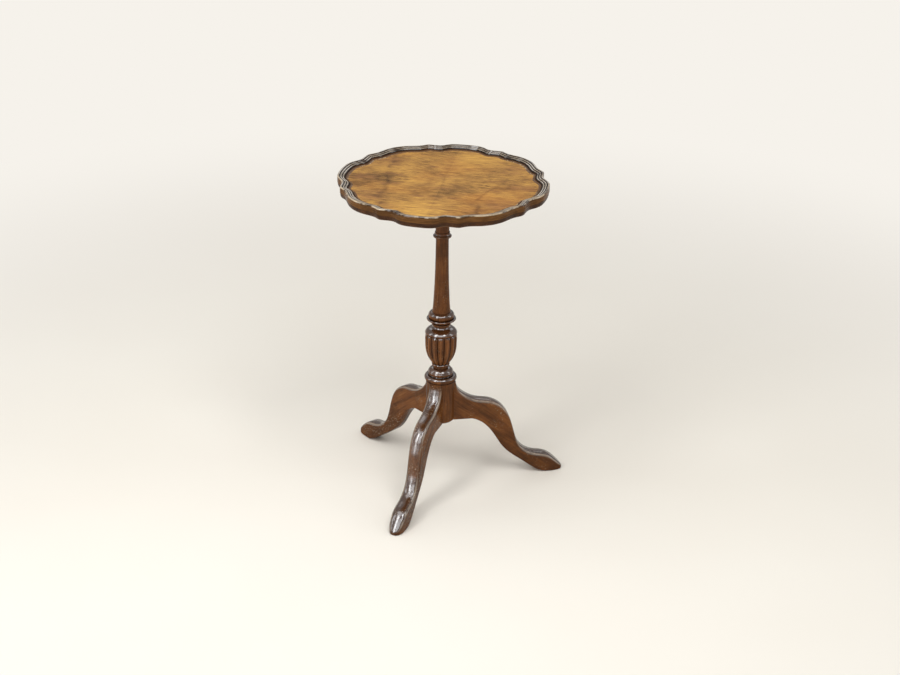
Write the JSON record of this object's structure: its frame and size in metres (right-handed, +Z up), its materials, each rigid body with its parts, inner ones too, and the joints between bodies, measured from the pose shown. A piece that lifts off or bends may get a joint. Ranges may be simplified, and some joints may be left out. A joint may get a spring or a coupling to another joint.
{
  "type": "wine table",
  "caption": "Small pedestal table with a scalloped moulded rim round a matched veneer top, on a turned column with a reeded vase and cabriole legs ending in slipper feet.",
  "frame": {"origin": "on the floor, under the axis of the column", "axes": "+Z up along the column; the front leg points along -Y"},
  "size_m": [0.3576, 0.3684, 0.5185],
  "materials": {
    "veneer": "figured veneer, golden brown, satin lacquer",
    "rim_wood": "dark stained, worn lighter on the outer arris, glossy",
    "stained_wood": "dark reddish brown stain, glossy",
    "carcase_wood": "reddish brown stain, satin",
    "plate_iron": "blackened sheet iron",
    "screw_steel": "plain steel, slotted"
  },
  "bodies": {
    "root": {"core_board": "carcase_wood", "rim_moulding": "rim_wood", "veneer_leaf_1": "veneer", "veneer_leaf_2": "veneer", "veneer_leaf_3": "veneer", "veneer_leaf_4": "veneer", "top_block": "carcase_wood", "block_screws": "screw_steel", "column": "stained_wood", "leg_front": "stained_wood", "leg_right": "stained_wood", "leg_left": "stained_wood", "spider_plate": "plate_iron", "plate_screws": "screw_steel"}
  },
  "joints": []
}
